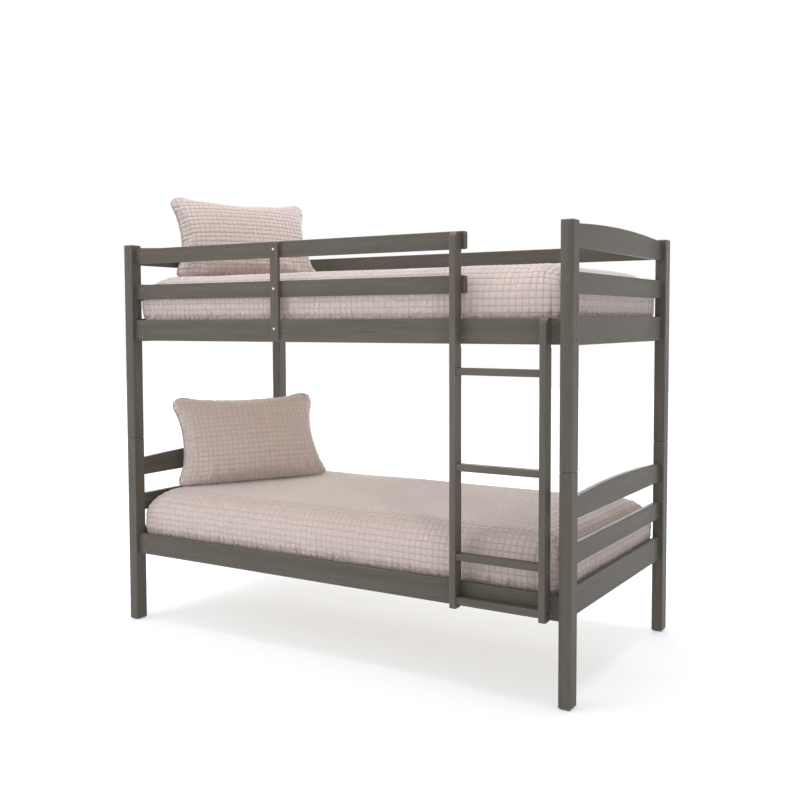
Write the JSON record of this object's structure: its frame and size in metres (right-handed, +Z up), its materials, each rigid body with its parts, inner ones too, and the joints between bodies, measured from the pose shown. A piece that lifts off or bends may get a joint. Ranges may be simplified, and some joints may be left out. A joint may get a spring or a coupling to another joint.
{
  "type": "bunk bed with ladder",
  "caption": "Twin-over-twin wooden bunk bed: plain posts, arched end rails, guard rails, a straight bolted ladder, slatted bases, mattresses, quilted coverlets and pillows.",
  "frame": {"origin": "centre of the overall footprint, ladder included, on the floor under the posts", "axes": "+X along the bed's length to the ladder end, +Y from the ladder side to the back, +Z up"},
  "size_m": [1.9876, 1.0478, 1.8066],
  "materials": {
    "grey_wood": "grey stained and lacquered, satin, faint straight grain",
    "slat_wood": "bare pine, planed",
    "dark_steel": "black oxide, satin",
    "bright_steel": "zinc plated, bright",
    "ticking": "woven mattress ticking",
    "quilt": "blush cotton, quilted in small squares, soft sheen"
  },
  "bodies": {
    "lower_bunk": {"lower_post_front_left": "grey_wood", "lower_post_front_right": "grey_wood", "lower_post_back_left": "grey_wood", "lower_post_back_right": "grey_wood", "lower_end_rail_left": "grey_wood", "lower_end_rail_right": "grey_wood", "lower_mid_rail_left": "grey_wood", "lower_mid_rail_right": "grey_wood", "lower_arch_rail_left": "grey_wood", "lower_arch_rail_right": "grey_wood", "lower_side_rail_front": "grey_wood", "lower_side_rail_back": "grey_wood", "lower_ledger_front": "grey_wood", "lower_ledger_back": "grey_wood", "lower_slats": "slat_wood", "lower_slat_screws": "bright_steel", "lower_rail_bolts": "dark_steel", "lower_barrel_nuts": "bright_steel", "lower_dowels": "slat_wood", "stacking_pins": "bright_steel"},
    "upper_bunk": {"upper_post_front_left": "grey_wood", "upper_post_front_right": "grey_wood", "upper_post_back_left": "grey_wood", "upper_post_back_right": "grey_wood", "upper_end_rail_left": "grey_wood", "upper_end_rail_right": "grey_wood", "upper_mid_rail_left": "grey_wood", "upper_mid_rail_right": "grey_wood", "upper_arch_rail_left": "grey_wood", "upper_arch_rail_right": "grey_wood", "upper_side_rail_front": "grey_wood", "upper_side_rail_back": "grey_wood", "upper_ledger_front": "grey_wood", "upper_ledger_back": "grey_wood", "upper_slats": "slat_wood", "upper_slat_screws": "bright_steel", "upper_rail_bolts": "dark_steel", "upper_barrel_nuts": "bright_steel", "upper_dowels": "slat_wood", "guard_top_rail_front": "grey_wood", "guard_mid_rail_front": "grey_wood", "guard_top_rail_back": "grey_wood", "guard_mid_rail_back": "grey_wood", "guard_support_strip": "grey_wood", "guard_strip_screws": "bright_steel", "ladder_stringer_left": "grey_wood", "ladder_stringer_right": "grey_wood", "ladder_rung_1": "grey_wood", "ladder_rung_2": "grey_wood", "ladder_rung_3": "grey_wood", "ladder_rung_4": "grey_wood", "ladder_rung_bolts": "dark_steel", "ladder_mount_bolts": "dark_steel"},
    "lower_mattress_set": {"lower_mattress": "ticking", "lower_coverlet": "quilt"},
    "lower_pillow": {"lower_pillow": "quilt"},
    "upper_mattress_set": {"upper_mattress": "ticking", "upper_coverlet": "quilt"},
    "upper_pillow": {"upper_pillow": "quilt"}
  },
  "joints": [
    {"name": "upper_bunk_lift", "type": "slide", "parent": "lower_bunk", "child": "upper_bunk", "axis": [0, 0, 1], "range_m": [0, 0.1]},
    {"name": "lower_mattress_lift", "type": "slide", "parent": "lower_bunk", "child": "lower_mattress_set", "axis": [0, 0, 1], "range_m": [0, 0.1]},
    {"name": "lower_pillow_lift", "type": "slide", "parent": "lower_mattress_set", "child": "lower_pillow", "axis": [0, 0, 1], "range_m": [0, 0.1]},
    {"name": "upper_mattress_lift", "type": "slide", "parent": "upper_bunk", "child": "upper_mattress_set", "axis": [0, 0, 1], "range_m": [0, 0.15]},
    {"name": "upper_pillow_lift", "type": "slide", "parent": "upper_mattress_set", "child": "upper_pillow", "axis": [0, 0, 1], "range_m": [0, 0.15]}
  ]
}
